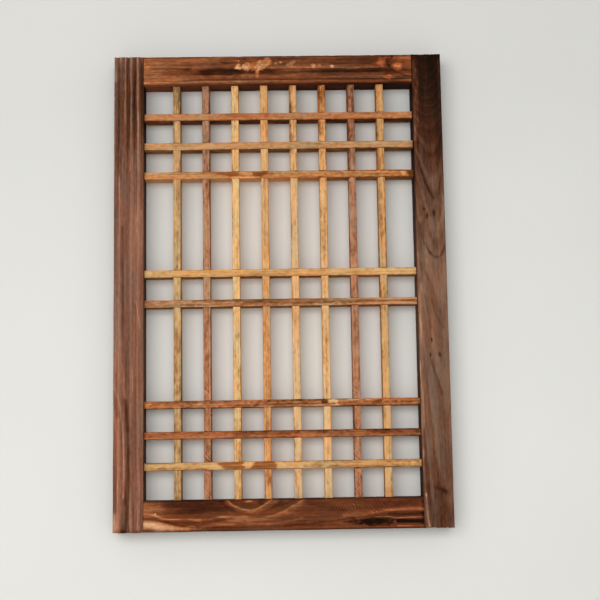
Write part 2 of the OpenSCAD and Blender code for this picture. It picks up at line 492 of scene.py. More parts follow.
# Right stile
# The other side member, from a plain-sawn board: its rings cross the face as nested cathedral arches with their
# tips down, and it was scorched almost black at the top. Its mortises mirror those of the left stile.

right_stile, places, stile_size, right_inner_x = stile_blank("right_stile", HIGH_END)
along, across, deep = places.T

# Rings counted down the middle of the arches, where that middle lies across the face, and how many rings behind
# the first tip the heart of the tree was
ARCH_TIPS = ([0, 100, 240, 396, 476, 538, 577, 600, 615, 625, 700], [8.6, 8.0, 7.1, 6, 5, 4, 3, 2, 1, 0, -5])
ARCH_MIDDLE = ([0, 240, 396, 476, 538, 625, 700], [40, 37, 30, 29, 25, 22, 20])
HEART_RINGS = 12
RING_WIDTH = 4.0
heart = RING_WIDTH * (np.interp(along, *ARCH_TIPS) + HEART_RINGS)
rings = np.hypot(across - np.interp(along, *ARCH_MIDDLE), heart + deep) / RING_WIDTH
rings += 0.22 * smooth_noise(places / (120, 30, 30), 6) + 0.06 * smooth_noise(places / (25, 8, 8), 7)
RIGHT_LIGHTNESS = ([0, 50, 120, 300, 400, 480, 540, 600, 640, 700],
                   [0.37, 0.41, 0.51, 0.65, 0.6, 0.46, 0.3, 0.15, 0.06, 0.03])
RIGHT_BOLDNESS = ([0, 100, 200, 350, 480, 600, 640, 700], [0.9, 0.75, 0.5, 0.5, 0.8, 0.75, 0.6, 0.4])
shade = np.interp(along, *RIGHT_LIGHTNESS) + 0.08 * smooth_noise(places / (70, 10, 10), 8)
front = np.exp(-(deep / FRAME_FRONT) ** 2)
shade = streaked(shade, places, front, [
    (0.26, 3.4, [(688, 3), (651, 3.4), (570, 3)]),
    (0.2, 2.6, [(676, 7), (640, 7.4), (590, 7)]),
    (0.12, 2, [(690, 41), (640, 41), (590, 40)]),
    (-0.2, 1, [(699, 0.6), (400, 0.6)]),
    (0.12, 2.5, [(588, 4), (520, 3), (440, 3)]),
    (-0.22, 1.6, [(525, 10), (500, 17), (479, 27)]),
    (-0.26, 2.4, [(442, 6), (416, 11), (397, 20)]),
    (-0.26, 1.4, [(400, 18), (392, 26), (394, 36), (409, 43)]),
    (0.2, 3, [(350, 4), (247, 3), (145, 3)]),
    (-0.14, 2, [(381, 6), (350, 21)]),
    (-0.16, 1.8, [(335, 11), (302, 15), (270, 18)]),
    (-0.22, 2.2, [(240, 17), (215, 25), (191, 31)]),
    (-0.14, 1.6, [(328, 21), (306, 26), (288, 36)]),
    (-0.26, 2.6, [(57, 20), (55, 25)]),
    (-0.28, 2.6, [(53, 29), (51, 34)]),
    (0.2, 0.8, [(240, 0.8), (150, 1), (101, 1.6)]),
    (0.3, 1.1, [(112, 1.6), (80, 2.4), (58, 3.4), (46, 4)]),
    (0.5, 1, [(48, 3.8), (30, 5), (14, 6.2), (2, 7.6)]),
    (-0.14, 1.4, [(60, 7.5), (20, 10), (2, 12)]),
    (0.12, 3, [(483, 42), (416, 41)]),
])


def patch(along, across, middle, half, seed, ragged=0.35, soft=0.3):
    """A patch on a face, 1 inside and 0 outside, with a ragged edge that fades over a share of its half size."""
    reach = np.hypot((along - middle[0]) / half[0], (across - middle[1]) / half[1])
    torn = face_noise(along, across, (7, 1.8), seed) + 0.6 * face_noise(along, across, (2.4, 1.1), seed + 1)
    return np.clip((1 + soft / 2 + ragged * torn - reach) / soft, 0, 1)


# Small dark holes: middle and half size
HOLES = [((463, 13), (2.2, 1.4)), ((453, 17), (3.8, 1.6)), ((457, 27), (4.5, 2.0)), ((269, 19), (3.4, 1.4)),
         ((247, 16), (3.8, 1.6)), ((248, 30), (3.8, 2))]
holes = sum(patch(along, across, middle, half, 90, ragged=0.3, soft=0.9) for middle, half in HOLES) * front
shade -= 0.34 * holes
shade = stained_and_shaded_sides(shade, front, across, 0)
redness = 0.34 * front * streak(along, across, 5.0, [(692, 4), (651, 4), (560, 3)])
finish_wood(right_stile, places, stile_size, rings, shade, relief=0.22, seed=12, hollow=0.5 * holes,
            bold=np.interp(along, *RIGHT_BOLDNESS), warm=redness)
saw_ends(right_stile, places, UPRIGHT, stile_size[0], cuts=(1.0, 0.6), seed=33)
RIGHT_PALETTE = "1a0e07 482a1c 6c4b3a 8a6a56 c09c80"
fit(right_stile, "right_stile",
    wood("scorched_right_stile", RIGHT_PALETTE, UPRIGHT, (0.26, 0.5, 0.55), seed=2))

# Top rail
# The cross member at the head, tenoned into both stiles, of orange-brown wood with a scorched heart band. Chips
# along the middle of its front and a small knot at its right end show the pale wood below the scorched skin.

UPRIGHT_NAMES = [f"upright_{i}" for i in range(1, 9)]
RAIL_STEPS = dict(arris=FRAME_ARRIS, step=0.7, deep_step=1.2, long_step=1.5, end_rings=2)
RAIL_STAIN = 0.22
RAIL_RELIEF = 0.2
TENON_ROOT = 3
stile_xs = (left_inner_x, right_inner_x)


def join_tenons(blank, node, axis, shoulders):
    """Joins both tenons of a CAD piece to a blank that ends at its shoulders, rooted a little way inside it."""
    low_tenon, high_tenon = [end_tenon(node, axis, end, s) for end, s in zip((LOW_END, HIGH_END), shoulders)]
    low_tenon[1][axis] += TENON_ROOT * MM
    high_tenon[0][axis] -= TENON_ROOT * MM
    joinery(blank, [low_tenon, high_tenon], "UNION")


def rail_blank(node, end):
    """A rail with both tenons on, mortised on its inner edge for one end of the uprights: piece, places and size."""
    low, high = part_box(node)
    low.x, high.x = stile_xs
    blank = planed_timber(node + "_wood", low, high, LEVEL, **RAIL_STEPS)
    join_tenons(blank, node, LEVEL, stile_xs)
    cut_mortises(blank, UPRIGHT_NAMES, UPRIGHT, end, low.z if end == HIGH_END else high.z)
    return blank, *measured(blank, low, high, LEVEL)


top_rail, places, rail_size = rail_blank("top_rail", HIGH_END)
along, across, deep = places.T
rings = np.hypot(across - 60, deep - 70) / 5.5
rings += 0.3 * smooth_noise(places / (160, 40, 40), 13) + 0.06 * smooth_noise(places / (30, 8, 8), 14)
TOP_LIGHTNESS = ([0, 30, 60, 130, 200, 300, 350, 385, 400], [0.62, 0.58, 0.5, 0.47, 0.43, 0.36, 0.29, 0.3, 0.41])
shade = np.interp(along, *TOP_LIGHTNESS) + 0.07 * smooth_noise(places / (60, 7, 7), 15)
front = np.exp(-(deep / FRAME_FRONT) ** 2)

# Streaks: strength, half width, points from the left end and the lower edge, and the half width on the upper side
shade = streaked(shade, places, front, [
    (-0.12, 5, [(34, 17), (86, 18), (122, 19), (161, 18), (190, 18)], 6),
    (-0.24, 5, [(88, 18), (112, 20), (142, 19)], 6),
    (-0.16, 3, [(118, 35), (134, 37.5), (150, 38)], 4),
    (0.24, 1.6, [(146, 12), (160, 12.6), (170, 13)], 2.4),
    (-0.2, 3.4, [(160, 18), (280, 18), (376, 17)], 4.5),
    (-0.14, 2.6, [(236, 18), (262, 19), (292, 18)], 3),
    (-0.14, 2.2, [(300, 17), (330, 18), (352, 17)], 3),
    (0.26, 0.8, [(190, 23.4), (294, 23.6), (350, 23)], 2),
    (0.14, 1.6, [(86, 11), (230, 11), (376, 10)], 2.4),
    (-0.22, 0.9, [(60, 6), (230, 6), (399, 5)], 1.4),
    (0.18, 0.9, [(0, 3), (60, 3.2), (230, 3.2), (399, 3)], 0.9),
    # Painted shade along the upper edge
    (-0.3, 1.6, [(0, 42.6), (399, 42.6)], 1.6),
    (-0.14, 1, [(1, 35), (49, 35)], 2.2),
    (0.14, 1, [(1, 27), (34, 27)], 2.6),
    (-0.2, 1, [(0, 23), (30, 24), (70, 23)], 1.8),
    (-0.16, 1, [(4, 15), (60, 15), (131, 14)], 1.8),
    (0.14, 0.8, [(70, 33), (110, 34), (140, 36)], 1.6),
    (-0.12, 1, [(190, 38), (280, 37), (340, 38)], 2),
    (-0.12, 1, [(200, 30), (280, 31), (340, 30)], 2),
    (-0.3, 1.4, [(357, 40), (363, 32), (367, 24)], 2.6),
    (-0.26, 1, [(371, 41), (373, 33)], 1.6),
    (0.14, 2.4, [(374, 36), (399, 37)], 2.4),
    (-0.16, 1, [(376, 17), (388, 11), (399, 8)], 1.6),
    (-0.16, 1, [(372, 24), (388, 19), (399, 17)], 1.6),
])
shade -= 0.16 * front * patch(along, across, (114, 21), (36, 8.5), 59, ragged=0.4, soft=1.4)


def chip(along, across, corners, seed, soft):
    """A mark with the given corners on a face: 1 inside and 0 outside, with a flaky edge that fades over soft."""
    gap, inside = np.full(len(along), np.inf), np.zeros(len(along), bool)
    for (a0, c0), (a1, c1) in zip(corners, corners[1:] + corners[:1]):
        gap = np.minimum(gap, np.hypot(*off_line(along, across, (a0, c0), (a1, c1))))
        if c1 != c0:
            inside ^= ((c0 > across) != (c1 > across)) & (along < a0 + (across - c0) * (a1 - a0) / (c1 - c0))
    torn = face_noise(along, across, (2.4, 1.6), seed)
    return np.clip(0.5 + (np.where(inside, gap, -gap) + 0.8 * torn) / soft, 0, 1)


# Chips and bruises with corners: lightness, warmth, how gently the edge fades, and the corners
CHIPS = [
    (0.85, 0.08, 1.2, [(135.5, 23), (137.5, 28), (140, 31.5), (143, 31), (146, 25), (145, 21.5)]),
    (0.89, 0.02, 1.2, [(145.5, 25), (148, 30.5), (152, 33), (156, 33.5), (159.5, 30), (160, 24), (155, 19),
                       (150, 21)]),
    (0.72, 0.16, 2.4, [(158, 31), (165, 34), (172, 32), (171, 20), (160, 20.5)]),
    (0.86, 0.06, 1.4, [(168, 33), (172, 37), (179, 37), (182, 40.5), (186, 40), (191, 36), (190, 30), (184, 27),
                       (178, 21.5), (169, 20)]),
    (0.8, 0.06, 2, [(166, 22), (172.5, 22), (171.4, 14), (171.6, 9), (167.2, 8.5), (167, 14)]),
    (0.74, 0.05, 1.4, [(211, 26.5), (216, 32), (221, 35.5), (228, 34.5), (225, 30), (219, 26)]),
    (0.66, 0.3, 5, [(348, 29), (353, 38), (362, 38.5), (361, 31), (357, 24)]),
    (0.68, 0.3, 4.5, [(372, 27), (377, 31.5), (385, 29.5), (386, 21), (379, 17.5), (374, 20)]),
    (0.56, 0.22, 5, [(372, 33), (373, 39), (399, 39), (399, 26), (388, 30)]),
    (0.66, 0.4, 2.6, [(358, 9), (366, 13), (373, 7.5), (367, 4.5)]),
    (0.2, 0, 2.4, [(358, 18), (376, 17), (377, 12), (360, 13)]),
]
chipped = np.zeros(len(along))
flaked = 0.94 + 0.14 * face_noise(along, across, (3.2, 2.2), 19)
warm = np.zeros(len(along))
for k, (light, warmth, soft, corners) in enumerate(CHIPS):
    spread = front * chip(along, across, corners, 20 + k, soft)
    shade += spread * (light * flaked - shade)
    chipped = np.maximum(chipped, max(light - 2 * warmth, 0) * spread)
    warm = np.maximum(warm, warmth * spread)

# Small round chips: lightness, middle and half size
for k, (light, middle, half) in enumerate([
    (0.98, (141.6, 35.4), (1.7, 1.5)), (0.84, (197.5, 31.3), (2.2, 1.8)), (0.84, (204.3, 32.4), (2, 1.7)),
    (0.88, (253.7, 26.8), (3.6, 3.2)), (0.8, (262.6, 27.6), (2.4, 2)), (0.92, (281.3, 25), (3, 2.8)),
]):
    spread = front * patch(along, across, middle, half, 40 + k, ragged=0.3, soft=0.5)
    shade += spread * (light * flaked - shade)
    chipped = np.maximum(chipped, light * spread)
shade -= RAIL_STAIN * (1 - front)

# The underside is less stained, up to where the scorched end begins
under = (1 - front) * np.clip(1 - across / FRAME_ARRIS, 0, 1)
shade += under * np.clip(1 - along / 330, 0, 1) * (0.05 + 0.2 * np.exp(-(deep / 14) ** 2))
finish_wood(top_rail, places, rail_size, rings, shade, RAIL_RELIEF, seed=13, hollow=0.5 * chipped,
            bold=1 - 0.7 * chipped, warm=np.maximum(warm, 0.14 * under))
TOP_PALETTE = "1e0f07 542c19 7e4a2e aa6c44 e2b486"
fit(top_rail, "top_rail",
    wood("scorched_top_rail", TOP_PALETTE, LEVEL, (0.16, 0.45, 0.55), seed=3))

# Bottom rail
# The cross member at the sill, tenoned like the top one. Its board was cut near the heart, so orange late-wood
# arcs hang from its upper edge, with a scorched band at its right end and a pale sapwood corner at its left.

bottom_rail, places, rail_size = rail_blank("bottom_rail", LOW_END)
along, across, deep = places.T
rings = np.hypot(across + 30, deep - 60) / 6.5
rings += 0.4 * smooth_noise(places / (120, 30, 30), 16) + 0.06 * smooth_noise(places / (30, 8, 8), 17)
BOTTOM_LIGHTNESS = ([0, 25, 60, 100, 150, 280, 330, 400], [0.48, 0.44, 0.35, 0.33, 0.4, 0.42, 0.36, 0.33])
shade = np.interp(along, *BOTTOM_LIGHTNESS) + 0.06 * smooth_noise(places / (60, 7, 7), 18)
front = np.exp(-(deep / FRAME_FRONT) ** 2)

# Streaks as on the top rail
shade = streaked(shade, places, front, [
    (0.3, 1.3, [(0, 26.4), (10, 25.6), (17, 23.6), (24, 20.4), (32, 18.6), (44.4, 18), (63, 17.9), (77, 17),
                (96, 18.4), (112.7, 21.2), (138, 19.5), (162, 18.3), (182.8, 21.2), (193.6, 25), (203.8, 29.3),
                (215.8, 36.2), (230.3, 44.4)], 1.5),
    (0.16, 2, [(64, 18.4), (71, 18), (80, 17.8)], 2.6),
    (0.18, 5, [(112, 20), (138, 18), (162, 17), (184, 19), (200, 26), (214, 33), (224, 40)], 1.1),
    (0.46, 1.8, [(120, 44.4), (126, 38.5), (138.4, 32.4), (150.3, 29.9), (162.3, 31.6), (172.5, 37.6),
                 (183, 44.4)], 1.0),
    (0.16, 5.5, [(120, 42), (130, 34), (140, 29), (150, 27.5), (163, 29), (176, 36), (188, 43)], 1),
    (-0.2, 2, [(30, 15.5), (44, 14), (70, 13), (98, 14.5), (116, 17.5)], 1.2),
    (-0.16, 2.4, [(112, 42), (122, 33), (134, 26), (150, 24.5), (166, 25), (184, 33), (196, 42)], 2),
    (-0.12, 6, [(36, 36), (70, 33), (108, 31)], 8),
    (0.12, 5, [(2, 36), (22, 35)], 6),
    (-0.2, 1.2, [(0, 19.5), (18, 18), (30, 14.5), (48, 9.5), (60, 7)], 2),
    (0.3, 1, [(54, 4), (63, 7), (69, 8.4), (73, 7)], 1.4),
    (0.22, 1.2, [(80, 4.5), (90, 7.6), (104, 9.6), (130, 10)], 2.4),
    (-0.22, 1.4, [(66, 3.6), (71, 3.8)], 1.4),
    (0.12, 2, [(104, 10.5), (150, 10), (190, 11), (226, 17)], 2),
    (-0.12, 1.4, [(100, 6), (150, 5), (196, 6), (230, 11)], 1.6),
    (0.12, 1.4, [(214, 10), (250, 12), (286, 17)], 1.8),
    (-0.16, 1.6, [(200, 7), (240, 9.5), (276, 14), (300, 16.5)], 1.6),
    (-0.12, 3, [(196, 36), (216, 43)], 4),
    (-0.14, 4, [(236, 38), (262, 33), (284, 26)], 5),
    (0.26, 1.4, [(286, 18.6), (299.5, 19.8), (318, 20.7), (337, 24), (364, 27), (399, 26.6)], 3.6),
    (0.46, 0.8, [(330, 16.6), (344, 17.6), (357.6, 15.5), (374.7, 15.5), (399, 16.7)], 0.9),
    (-0.5, 2.6, [(364, 10.5), (399, 10.5)], 2.6),
    (-0.26, 1.6, [(350, 20.6), (399, 21.2)], 1.8),
    (0.36, 0.8, [(362, 4.4), (399, 4.5)], 0.8),
    # Painted shade along the upper edge
    (-0.2, 1.4, [(0, 43.6), (200, 43.8), (399, 43.6)], 1.4),
    (-0.26, 1.2, [(40, 0.8), (399, 0.8)], 1.2),
    (-0.3, 1, [(398.5, 6), (398.8, 40)], 1),
])

# Patches: strength, middle, half size and fade
for k, (strength, middle, half, soft) in enumerate([
    (0.4, (17, 26.4), (1.1, 1), 0.6), (0.36, (150, 42.4), (5, 1.8), 0.6), (-0.16, (168, 40.5), (6, 3.5), 0.9),
    (-0.44, (329, 10.8), (31, 4.6), 0.9), (0.34, (359, 10.7), (2.2, 1.8), 0.7), (-0.1, (70, 36), (34, 9), 1),
]):
    shade += strength * front * patch(along, across, middle, half, 50 + k, 0.4, soft)

# Sapwood in the lower left corner, paler towards the end of the rail: lightness, fade and corners
sapwood = np.zeros(len(along))
for k, (light, soft, corners) in enumerate([
    (0.7, 3, [(-4, 17), (9, 17), (18, 15.6), (29, 13), (42, 9.6), (62, 6.4), (88, 4.2), (60, 3), (38, 2.6),
                (20, 2.8), (12, 4), (-4, 5)]),
    (0.94, 6, [(-8, 16), (8, 16), (18, 14.4), (30, 10.6), (48, 6.4), (66, 4.6), (44, 3.6), (20, 3.2), (12, 6),
                 (-8, 7)]),
]):
    spread = front * chip(along, across, corners, 57 + k, soft)
    shade += spread * (light - shade)
    sapwood = np.maximum(sapwood, spread)


def chatter(along, across, pitch, slope):
    """Slanted marks that a dull plane leaves, as a wave from -1 to 1."""
    swerve = 0.8 * face_noise(along, across, (14, 9), 55)
    return np.cos(2 * math.pi * ((along + slope * across) / pitch + swerve))


marked = patch(along, across, (291, 31), (17, 9), 57, soft=1.0)
marked = marked + patch(along, across, (334, 32), (11, 9), 58, soft=1.0)
marked = front * marked * chatter(along, across, pitch=4.2, slope=0.7)
shade += 0.16 * marked - RAIL_STAIN * (1 - front)
finish_wood(bottom_rail, places, rail_size, rings, shade, RAIL_RELIEF, seed=14, hollow=0.1 + 0.1 * marked,
            bold=1 - 0.5 * sapwood)
BOTTOM_PALETTE = "1e0e06 522916 784328 a86c46 deb48e"
fit(bottom_rail, "bottom_rail",
    wood("scorched_bottom_rail", BOTTOM_PALETTE, LEVEL, (0.1, 0.28, 0.45), seed=4))

# Uprights
# Eight slim lattice bars between the rails, ripped from mixed offcuts of pale and brown softwood, scraped clean in
# front and still dark with old stain on their sides. Each is notched in front at every crossing, and stub-tenoned.

PALE, BROWN = "pale_bar_wood", "brown_bar_wood"
BAR_ARRIS = 0.8
LAP_PLAY = 0.1
BAR_FRONT = 1.6
BAR_FINISH = dict(relief=0.06, arris=BAR_ARRIS, wander=0.12)
BAR_STEPS = dict(arris=BAR_ARRIS, step=1.0, deep_step=2.0, end_rings=2)
BAR_CONTRASTS = (0.2, 0.55, 0.6)
lap_y = sum(corner.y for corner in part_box("upright_1")) / 2


def lattice_bar(node, axis, shoulders, crossing, in_front, long_step):
    """A bar with stub tenons, notched to half its depth for each bar that crosses it: piece, places and size."""
    low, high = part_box(node)
    low[axis], high[axis] = shoulders
    bar = planed_timber(node + "_wood", low, high, axis, long_step=long_step, **BAR_STEPS)
    join_tenons(bar, node, axis, shoulders)
    wide, notches = across_of(axis), []
    for name in crossing:
        notch_low, notch_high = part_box(name)
        notch_low[axis] -= LAP_PLAY * MM
        notch_high[axis] += LAP_PLAY * MM
        notch_low[wide], notch_high[wide] = low[wide] - CUT_OVERRUN * MM, high[wide] + CUT_OVERRUN * MM
        if in_front:
            notch_low.y, notch_high.y = low.y - CUT_OVERRUN * MM, lap_y
        else:
            notch_low.y, notch_high.y = lap_y, high.y + CUT_OVERRUN * MM
        notches.append((notch_low, notch_high))
    joinery(bar, notches, "DIFFERENCE")
    return bar, *measured(bar, low, high, axis)


def end_to_end(along, length, values):
    """Values at even distances from one end of a bar to the other, at each place between."""
    return np.interp(along / length, np.linspace(0, 1, len(values)), values)


def bar_grain(places, size, lightness, streaks, stain, blotch, fleck, seed):
    """Rings and lightness of a straight-grained bar, blotchy in front and stained on its sides and back."""
    along, across, deep = places.T
    slope = math.radians(25 + 40 * (seed * 0.618 % 1))
    rings = (across * math.cos(slope) + deep * math.sin(slope)) / 3.2 + seed * 0.37
    rings += 0.5 * smooth_noise(places / (110, 14, 14), seed) + 0.12 * smooth_noise(places / (22, 5, 5), seed + 1)
    front = np.exp(-(deep / BAR_FRONT) ** 2)
    shade = end_to_end(along, size[0], lightness)
    shade += blotch * (smooth_noise(places / (26, 6, 9), seed + 2) + 0.6 * smooth_noise(places / (9, 4, 5), seed + 3))
    shade += fleck * front * smooth_noise(places / (4.2, 1.8, 5), seed + 4)
    shade = streaked(shade, places, front, streaks)
    edge = np.minimum(across, size[1] - across)
    return rings, shade - stain * (1 - front) - 0.16 * front * np.exp(-(edge / 0.9) ** 2)


rail_zs = (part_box("bottom_rail")[1].z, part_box("top_rail")[0].z)
UPRIGHT_BLOTCH, UPRIGHT_FLECK = 0.16, 0.18

# Mesh steps along an upright: plane marks need the finer one
PLAIN_STEP, MARKED_STEP = 2.1, 1.5

# Wood, palette from stained side to clean front, how far the sides are stained, lightness and warmth of the front
# from the foot of the bar to its head, and streaks
UPRIGHTS = [
    (PALE, "543420 8f6a44 c0996a d8b27c", 0.24, [0.46, 0.52, 0.76, 0.66, 0.38], [0], [
        (-0.44, 1.4, [(334, 3), (340, 6)]), (-0.3, 1, [(330, 7), (342, 5)])]),
    (BROWN, "3c2218 75492f a9795c c0906e", 0.24, [0.6, 0.6, 0.78, 0.68, 0.46], [0.14, 0.1, 0, 0], []),
    (PALE, "6a4020 b07f4c dcb078 ecc892", 0.12, [0.5, 0.58, 0.8, 0.76, 0.6], [0.06, 0], []),
    (PALE, "6a3c1e ac7348 d09b65 e2b57a", 0.14, [0.46, 0.5, 0.56, 0.74, 0.74], [0.06, 0.08, 0.04, 0, 0], [
        (0.4, 6, [(0, 5.5), (10, 5.5)]), (-0.18, 5, [(24, 5.5), (42, 5.5)]), (0.2, 5, [(60, 5.5), (74, 5.5)])]),
    (PALE, "6a4020 ac7c4e d8ac7a e6ba88", 0.2, [0.7, 0.7, 0.67, 0.64, 0.54], [0], [
        (-0.5, 2, [(612, 1.4), (560, 1.2), (510, 0.8)])]),
    (PALE, "643a1a a06c3e d2a571 e6be8a", 0.16, [0.88, 0.82, 0.75, 0.6, 0.36], [0, 0, 0, 0.04, 0.2], [
        (-0.1, 2, [(612, 1.6), (540, 1.6)])]),
    (BROWN, "38201a 70442c a8765a bc8c6c", 0.24, [0.65, 0.66, 0.7, 0.67, 0.6], [0.1, 0.06, 0, 0], [
        (-0.4, 1.6, [(612, 0.6), (470, 0.6)]), (-0.2, 1.4, [(612, 9), (520, 9)])]),
    (PALE, "543218 a47040 ca9c68 dab07c", 0.3, [0.78, 0.7, 0.56, 0.58, 0.66], [0, 0, 0, 0, 0.06], [
        (-0.3, 1.4, [(612, 0.6), (470, 0.6)])]),
]
for i, (slot, palette, stain, lightness, warmth, streaks) in enumerate(UPRIGHTS):
    node = UPRIGHT_NAMES[i]
    brown = slot == BROWN
    long_step = MARKED_STEP if brown else PLAIN_STEP
    upright, places, size = lattice_bar(node, UPRIGHT, rail_zs, CROSS_BAR_NAMES, True, long_step)
    along, across, _ = places.T
    rings, shade = bar_grain(places, size, lightness, streaks, stain, UPRIGHT_BLOTCH, UPRIGHT_FLECK, 60 + 5 * i)
    if brown:
        low_part = patch(along, across, (80, 5), (90, 40), 59, soft=1.0)
        shade += 0.2 * low_part * chatter(along, across, pitch=6.4, slope=1.3)
    warm = end_to_end(along, size[0], warmth)
    finish_wood(upright, places, size, rings, shade, seed=70 + i, warm=warm, **BAR_FINISH)
    fit(upright, node, wood(f"scraped_{node}", palette, UPRIGHT, BAR_CONTRASTS, 10 + i))

# Cross bars
# Eight bars of the same stock, housed in the stiles and laid over the uprights in belts of three, two and three.
# Each is notched behind at every crossing, so that both bars lie flush.

# Wood, palette, stain, lightness of the front from left to right, streaks, and marks: lightness, warmth, fade and
# corners
CROSS_BARS = [
    (PALE, "4a2814 965b34 b87b50 c89468", 0.56, [0.7, 0.64, 0.62, 0.66], [
        (-0.16, 1.4, [(120, 10), (200, 10)])], [
        (0.4, 0.1, 4, [(117, 11.5), (122, 6), (136, 4.6), (152, 6.4), (158, 11.5)])]),
    (PALE, "4c2e18 9c6e44 be8e62 cea376", 0.46, [0.72, 0.67, 0.66, 0.62], [
        (-0.14, 1.4, [(20, 5), (60, 5.6)])], [
        (0.5, 0.06, 4, [(110, 11.5), (116, 8), (132, 7), (142, 11.5)]),
        (1, 0, 0.9, [(35, 1.6), (42, 1.8), (42, -1), (35, -1)]),
        (1, 0, 0.9, [(54, 1.8), (60, 1.6), (60, -1), (54, -1)])]),
    (PALE, "4c2812 905a30 c08452 d89e68", 0.16, [0.78, 0.74, 0.64, 0.52, 0.46], [
        (-0.2, 1.4, [(60, 10), (110, 10.4)]), (-0.24, 1.2, [(225, 10.4), (300, 10), (399, 10)])], [
        (0.28, 0.1, 2.6, [(103, 10), (118, 11), (141, 10.6), (140, 4.4), (128, 3.4), (108, 6.6)]),
        (0.3, 0.1, 2.6, [(84, 8.6), (104, 9), (104, 7.4), (84, 7.6)]),
        (0.44, 0.1, 2.6, [(180, 11), (192, 10.6), (191, 5), (180, 4)]),
        (0.2, 0.1, 2.6, [(158, 11.5), (184, 11.5), (182, 6), (173, 2.6), (162, 3)]),
        (0.98, 0, 1.6, [(128, 2.6), (142, 3.2), (162, 2.4), (164, 0.4), (128, 0.4)]),
        (0.98, 0, 1.4, [(381, 8), (389, 8.6), (388, 3), (383, 2.6)]),
        (0.1, 0, 2, [(390, 11.5), (401, 11.5), (401, -1), (394, -1)])]),
    (PALE, "643c1a b07c48 d29e66 e2b47a", 0.5, [0.67, 0.66, 0.66, 0.78], [
        (-0.14, 1.2, [(150, 3), (240, 3)]), (0.16, 1.6, [(250, 9), (390, 9)])], [
        (0.94, 0, 2.6, [(-2, 10), (10, 9.6), (13, 5), (8, 1), (-2, 1)])]),
    (BROWN, "3a2212 7c4e2c 9c6c46 c09470", 0.3, [0.77, 0.69, 0.64, 0.68, 0.78], [
        (-0.38, 1.3, [(150, 6.6), (200, 5.8), (260, 5.4), (330, 5.6), (395, 5.8)]),
        (0.32, 1.3, [(250, 2.4), (320, 2.6), (399, 2.8)]), (0.28, 1.4, [(290, 9.2), (399, 9.2)]),
        (-0.24, 1.4, [(90, 10.2), (160, 10.4), (240, 10.2)]), (-0.16, 1.2, [(30, 4), (100, 4.6)])], []),
    (BROWN, "34190c 74401f a4643e bc7a4e e6b47c", 0.36, [0.52, 0.53, 0.52, 0.54, 0.57], [
        (-0.2, 1.4, [(180, 9.6), (260, 9)]), (-0.2, 1.2, [(300, 4), (399, 4.4)])], [
        (0.94, 0, 1.6, [(266, 10.2), (274, 11), (281, 9), (280, 4.4), (272, 3.8), (266, 5.4)]),
        (0.84, 0, 1.6, [(270, 4), (281, 4.6), (283, 1.2), (272, 0.6)]),
        (0.1, 0, 1.8, [(256, 9.6), (265.6, 9.8), (265.6, 4.6), (258, 3.6)]),
        (0.2, 0, 1.4, [(272, 5.4), (277, 5.2), (277, 3.6), (272, 3.8)]),
        (0.8, 0, 1.6, [(242, 2.6), (252, 3.2), (260, 2.4), (260, 0.6), (242, 0.6)]),
        (0.7, 0, 1.8, [(288, 9), (300, 9.6), (302, 7.4), (290, 7)]),
        (0.2, 0, 1.8, [(333, 9.6), (346, 8.6), (345, 6.4), (334, 7)])]),
    (BROWN, "30170c 723e22 9a5c38 b4744c", 0.4, [0.72, 0.7, 0.66, 0.58, 0.52], [
        (-0.34, 2.4, [(40, 10.8), (200, 10.4), (399, 10)]), (0.22, 1.8, [(150, 2.6), (260, 2.4), (399, 2.4)]),
        (0.18, 1, [(40, 4), (120, 3.6)]), (-0.2, 1.2, [(250, 6), (330, 5.6), (399, 6)])], [
        (0.9, 0, 1.4, [(118, 6), (123, 7.6), (129, 4), (124, 2.4)])]),
    (PALE, "5c3418 96623a c89a64 dcb27a", 0.46, [0.77, 0.75, 0.72, 0.64, 0.52], [
        (-0.2, 1.2, [(10, 1.6), (60, 1.6), (100, 2)]), (-0.2, 1.2, [(230, 2), (300, 2)])], [
        (0.3, 0.2, 2.2, [(104, 9), (110, 11.5), (146, 11.5), (141, 7), (146, 3.6), (142, -1), (118, -1), (110, 5)]),
        (0.28, 0.2, 2.2, [(160, 11.5), (186, 11.5), (192, 6), (190, -1), (150, -1), (155, 4)]),
        (0.96, 0, 1.4, [(146, 11.5), (156, 11.5), (154, 6), (147, 4), (143, 7)]),
        (0.5, 0.1, 3, [(240, 6), (250, 8), (258, 5), (248, 3)]),
        (0.46, 0.1, 4, [(300, 4), (345, 5), (345, 0.5), (300, 0.5)])]),
]

# The third bar was scraped below as well, apart from its right end: how much lighter it is there, from left to right
CLEAN_BELOW = {"cross_bar_3": [0.36, 0.4, 0.5, 0, 0]}

CROSS_BAR_STEP = 1.6
CROSS_BAR_BLOTCH = 0.12
CROSS_BAR_FLECKS = {BROWN: 0.22, PALE: 0.18}
for i, (slot, palette, stain, lightness, streaks, marks) in enumerate(CROSS_BARS):
    node = CROSS_BAR_NAMES[i]
    cross_bar, places, size = lattice_bar(node, LEVEL, stile_xs, UPRIGHT_NAMES, False, CROSS_BAR_STEP)
    along, across, deep = places.T

    # Painted shade along the lower edge of the front, stronger on bars with darker sides
    streaks.append((-0.3 * stain / 0.5, 0.7, [(0, 0), (400, 0)]))
    rings, shade = bar_grain(places, size, lightness, streaks, stain, CROSS_BAR_BLOTCH,
                             CROSS_BAR_FLECKS[slot], 120 + 5 * i)
    front = np.exp(-(deep / BAR_FRONT) ** 2)
    warm = np.zeros(len(shade))
    for k, (light, warmth, soft, corners) in enumerate(marks):
        spread = front * chip(along, across, corners, 200 + 10 * i + k, soft)
        shade += spread * (light - shade)
        warm = np.maximum(warm, warmth * spread)
    if node in CLEAN_BELOW:
        below = (1 - front) * np.clip(1 - across / BAR_ARRIS, 0, 1)
        shade += below * end_to_end(along, size[0], CLEAN_BELOW[node])
    finish_wood(cross_bar, places, size, rings, shade, seed=80 + i, warm=warm, **BAR_FINISH)
    fit(cross_bar, node, wood(f"scraped_{node}", palette, LEVEL, BAR_CONTRASTS, 20 + i))

